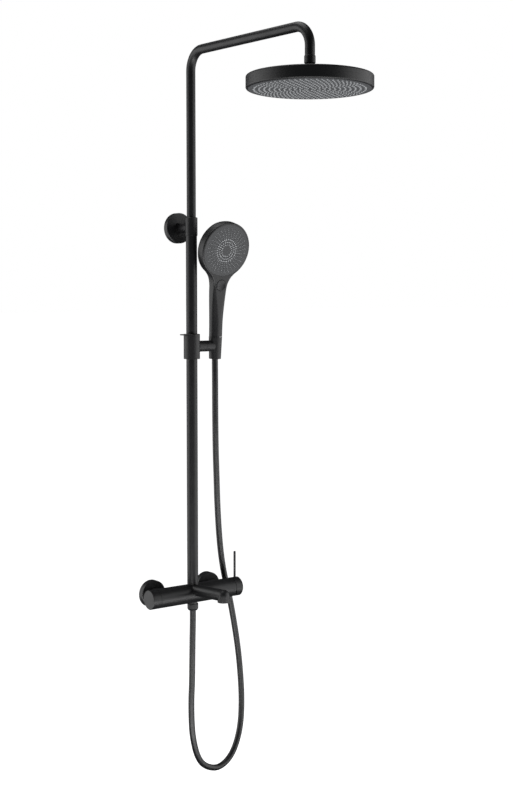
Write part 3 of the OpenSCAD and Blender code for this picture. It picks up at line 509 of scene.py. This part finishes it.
SQUARE_BLEND = (NECK_Z - 10, FACE_Z - 20)           # its back squares up
TURN_BLEND = (NECK_Z - 60, FACE_Z - 30)             # and its sections turn to the face
NECK_GROWTH = 3.2
FLARE_R = 45.0
FRONT_SWELL = 0.012     # how much the handle deepens for each mm of height, in front
BACK_SWELL = 0.01       # and behind
FRONT_BLEND = 9.0
BACK_DOME = 7           # how far the head's back stands out beyond its rim
TOP_ROUNDING = 0.9
ROUND_SHARE = 0.92      # of half the width or depth, whichever is less, in a corner's radius
SQUARENESS = 0.42
LEAST_HALF_WIDTH = 0.3
TOP_Z = FACE_Z + HEAD_R * math.cos(FACE_TILT)
SHELL_RINGS = 150
SHELL_BACK = 40
SHELL_CORNER = 10
SHELL_FRONT = 8
TOP_GAP = 0.06          # the last ring stays this far below the top
TOP_CROWDING = 0.75     # share of the ring spacing that closes up towards the top
SHARP_ANGLE = math.radians(32)


def blend_step(a, b, z):
    t = max(0.0, min(1.0, (z - a) / (b - a)))
    return t * t * (3 - 2 * t)


def head_span(z):
    """How much of the round head is left at height z, from 1 at its middle to 0 at its edge."""
    return math.sqrt(max(0.0, 1 - ((z - FACE_Z) / (HEAD_R * math.cos(FACE_TILT))) ** 2))


def half_width(z):
    """The handle's straight side runs into the round head by an arc that touches both."""
    s = (z - FACE_Z) / math.cos(FACE_TILT)
    side = HANDLE_R + NECK_GROWTH * blend_step(*SIDE_BLEND, z)
    arc_x = side + FLARE_R
    arc_s = -math.sqrt((HEAD_R + FLARE_R) ** 2 - arc_x ** 2)
    if s > arc_s * HEAD_R / (HEAD_R + FLARE_R):
        return HEAD_R * head_span(z)
    return arc_x - math.sqrt(FLARE_R ** 2 - (s - arc_s) ** 2) if s > arc_s else side


def plane_y(z):
    return FACE_Y - (z - FACE_Z) * math.tan(FACE_TILT)


def front_y(z):
    """The lower of the face plane and the handle's front, blended."""
    a = plane_y(z)
    b = -HANDLE_R - FRONT_SWELL * (z - FOOT_Z)
    share = max(0.0, min(1.0, 0.5 + 0.5 * (b - a) / FRONT_BLEND))
    return b + (a - b) * share - FRONT_BLEND * share * (1 - share)


def back_y(z):
    handle = HANDLE_R + BACK_SWELL * (z - FOOT_Z)
    head = plane_y(z) + RIM_T + BACK_DOME * head_span(z)
    return handle + (head - handle) * blend_step(*BACK_BLEND, z)


def edge_drop(z, r):
    """How far a rounding of radius r has fallen where the head ends at the top."""
    left = TOP_Z - z
    return TOP_ROUNDING * (r - math.sqrt(max(0.0, r * r - (r - left) ** 2))) if left < r else 0.0


def arc(count, degrees):
    return [math.radians(degrees) * k / count for k in range(count + 1)]


def shell_section(z):
    """Squarish round back, then a flat front between two rounded corners."""
    w = max(LEAST_HALF_WIDTH, half_width(z))
    f = front_y(z) + edge_drop(z, FRONT_ROUND)
    b = back_y(z) - edge_drop(z, BACK_ROUND)
    c = (f + b) / 2
    d = (b - f) / 2
    full = ROUND_SHARE * min(w, d)
    r = full + (min(FRONT_ROUND, full) - full) * blend_step(*CORNER_BLEND, z)
    q = 1 - SQUARENESS * blend_step(*SQUARE_BLEND, z)
    back = [(w * math.copysign(abs(math.cos(t)) ** q, math.cos(t)), c + d * max(0.0, math.sin(t)) ** q)
            for t in arc(SHELL_BACK, 180)]
    left = [(r - w - r * math.cos(t), f + r - r * math.sin(t)) for t in arc(SHELL_CORNER, 90)]
    flat = [((2 * k / SHELL_FRONT - 1) * (w - r), f) for k in range(1, SHELL_FRONT)]
    right = [(w - r + r * math.sin(t), f + r - r * math.cos(t)) for t in arc(SHELL_CORNER, 90)]
    return back + left + flat + right


def shell_ring(z):
    """A section turned square to the face in the head, and square to the handle below it."""
    rise = math.tan(FACE_TILT) * blend_step(*TURN_BLEND, z)
    return [Vector((x, y, z + (y - front_y(z)) * rise)) * MM for x, y in shell_section(z)]


def ring_height(i):
    """Ring heights that crowd together towards the rounded top."""
    left = 1 - i / (SHELL_RINGS - 1)
    fallen = TOP_CROWDING * left * left + (1 - TOP_CROWDING) * left
    return FOOT_Z + (TOP_Z - TOP_GAP - FOOT_Z) * (1 - fallen)


def loft(name, rings):
    """A closed mesh over rings that all have the same number of points."""
    mesh = bmesh.new()
    loops = [[mesh.verts.new(p) for p in ring] for ring in rings]
    for low, high in zip(loops, loops[1:]):
        for k in range(len(low)):
            m = (k + 1) % len(low)
            mesh.faces.new((low[k], low[m], high[m], high[k]))
    mesh.faces.new(loops[0][::-1])
    mesh.faces.new(loops[-1])
    bmesh.ops.remove_doubles(mesh, verts=mesh.verts, dist=0.01 * MM)
    bmesh.ops.recalc_face_normals(mesh, faces=mesh.faces)
    data = bpy.data.meshes.new(name)
    mesh.to_mesh(data)
    mesh.free()
    return data


def drum(name, radius, low, high, place, sides=160):
    """A round cutter from low to high on its own axis, in millimetres."""
    data = loft(name, [[Vector((radius * math.cos(2 * math.pi * k / sides),
                                radius * math.sin(2 * math.pi * k / sides), z)) * MM
                        for k in range(sides)] for z in (low, high)])
    data.transform(place)
    cutter = bpy.data.objects.new(name, data)
    bpy.context.scene.collection.objects.link(cutter)
    return cutter


def cut(piece, cutters):
    """Cuts each cutter out of the piece and keeps the result as a plain mesh."""
    for cutter in cutters:
        modifier = piece.modifiers.new(cutter.name, "BOOLEAN")
        modifier.operation = "DIFFERENCE"
        modifier.solver = "EXACT"
        modifier.object = cutter
    ready = piece.evaluated_get(bpy.context.evaluated_depsgraph_get())
    mesh = bpy.data.meshes.new_from_object(ready)
    piece.modifiers.clear()
    piece.data = mesh
    for cutter in cutters:
        bpy.data.objects.remove(cutter)


in_holder = Matrix.Translation(HOLDER_PLACE) @ Matrix.Rotation(HOLDER_LEAN, 4, "X")
on_face = in_holder @ Matrix.Translation((0, FACE_Y * MM, FACE_Z * MM)) @ Matrix.Rotation(
    math.pi / 2 + FACE_TILT, 4, "X")
at_button = in_holder @ Matrix.Translation((0, front_y(BUTTON_Z) * MM, BUTTON_Z * MM)) @ Matrix.Rotation(
    BUTTON_TILT, 4, "X")
shell_mesh = loft("hand_shower_shell", [shell_ring(ring_height(i)) for i in range(SHELL_RINGS)])
shell_mesh.transform(in_holder)
hand_shell = bpy.data.objects.new("hand_shower_shell", shell_mesh)
bpy.context.scene.collection.objects.link(hand_shell)
cut(hand_shell, [drum("face_recess", FACE_RECESS_R, -FACE_RECESS_T, CUTTER_TOP, on_face),
                 drum("button_hole", BUTTON_HOLE_R, -BUTTON_HOLE_T, CUTTER_TOP, at_button, BUTTON_SIDES)])
hand_shell.data.shade_smooth()
hand_shell.data.set_sharp_from_angle(angle=SHARP_ANGLE)
handset_black = moulded_plastic("matt_black_handset_abs", "#111113", "#19191b", 0.46, 1.5)
hand_shell.data.materials.clear()
hand_shell.data.materials.append(handset_black)
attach(hand_shell, "hand_shower")
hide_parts("handset_shell")
finish_nodes(handset_black, "spray_button", "hose_cone_nut")


# Hand shower face -------------------------------------------------------
# A dark grey plate with three rings of larger silicone nozzles round a plain disc, and
# 32 short rows of finer ones that curl slightly towards the rim.

INNER_RINGS = ((13.0, 16), (19.0, 24), (25.0, 32))
ROW_COUNT = 32
ROW_RADII = (29.5, 33.5, 37.5, 41.5, 45.5, 49.5)
ROW_CURL = 1.1
INNER_NOZZLE = {"Base Radius": 1.35 * MM, "Tip Radius": 0.95 * MM, "Height": 1.3 * MM,
                "Hole Share": 0.45, "Hole Depth": 0.7 * MM, "Sides": 10}
FINE_NOZZLE = {"Base Radius": 0.95 * MM, "Tip Radius": 0.65 * MM, "Height": 1.0 * MM,
               "Hole Share": 0.45, "Hole Depth": 0.5 * MM, "Sides": 8}

hand_plate_grey = moulded_plastic("hand_plate_grey_abs", "#37383a", "#404143", 0.50, 1.2)
bright_silicone = silicone_rubber("light_grey_silicone", "#d0d2d4", "#e4e6e8")
finish_nodes(hand_plate_grey, "handset_face")
finish_nodes(nozzle_silicone, "handset_nozzle_mat")
inner_points = [on_circle(radius * MM, 360 * (k + 0.5 * (i % 2)) / count)
                for i, (radius, count) in enumerate(INNER_RINGS) for k in range(count)]
row_points = [on_circle(radius * MM, 360 * k / ROW_COUNT + ROW_CURL * i)
              for i, radius in enumerate(ROW_RADII) for k in range(ROW_COUNT)]
for name, points, sizes, silicone in (
        ("hand_inner_nozzles", inner_points, INNER_NOZZLE, bright_silicone),
        ("hand_row_nozzles", row_points, FINE_NOZZLE, nozzle_silicone)):
    nozzles = nozzle_field(name, points, sizes, silicone, on_face)
    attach(nozzles, "hand_shower")
finish_nodes(matt_black, "handset_nipple")


# Mixer ------------------------------------------------------------------
# A cast brass bar on two wall unions, with a bath spout in front. Everything that shows is
# powder coated with the riser; the nuts that hold the cartridges stay bare brass.

finish_nodes(matt_black, "mixer_body", "spout", "inlet_unions", "inlet_nuts", "escutcheons",
             "outlet_nipple", "hose_nut")
finish_nodes(yellow_brass, "cartridge_nut", "diverter_nut")
finish_nodes(clamp_black, "aerator")
finish_nodes(white_acetal, "mixing_cartridge", "diverter_cartridge", "check_valves")


# Lever and diverter -----------------------------------------------------
# A round cap with a thin pin works the cartridge at the right end, and a turned knob
# works the diverter at the left. Each sits on a steel stem.

finish_nodes(matt_black, "lever_cap", "lever_pin", "diverter_knob")
finish_nodes(stainless, "cartridge_carrier", "cartridge_stem", "lever_grub_screw", "diverter_stem")


# Fixings and seals ------------------------------------------------------
# Stainless screws and wall plate behind the bracket's disc, and moulded EPDM washers and
# O-rings wherever two pieces of the water way meet.

def moulded_rubber(name, tone, worn):
    """EPDM from the mould: dead matt, with a grey bloom."""
    material, tree = blank_material(name)
    spot = add(tree, "ShaderNodeTexCoord").outputs["Object"]
    bloom = add(tree, "ShaderNodeTexNoise", {"Vector": spot, "Scale": 180.0, "Detail": 3.0})
    shade = add(tree, "ShaderNodeMix", {"Factor": bloom.outputs[0], "A": linear(tone),
                                        "B": linear(worn)}, data_type="RGBA")
    rubber = add(tree, "ShaderNodeBsdfPrincipled", {
        "Base Color": shade.outputs["Result"], "Roughness": 0.78, "IOR": 1.5})
    add(tree, "ShaderNodeOutputMaterial", {"Surface": rubber.outputs[0]})
    return material


epdm = moulded_rubber("moulded_epdm", "#161616", "#242425")
finish_nodes(epdm, "collar_seal", "riser_seals", "inlet_washers", "hose_washer", "ball_washer")
finish_nodes(stainless, "collar_grub_screw", "bracket_wall_plate", "bracket_screws", "post_screw")
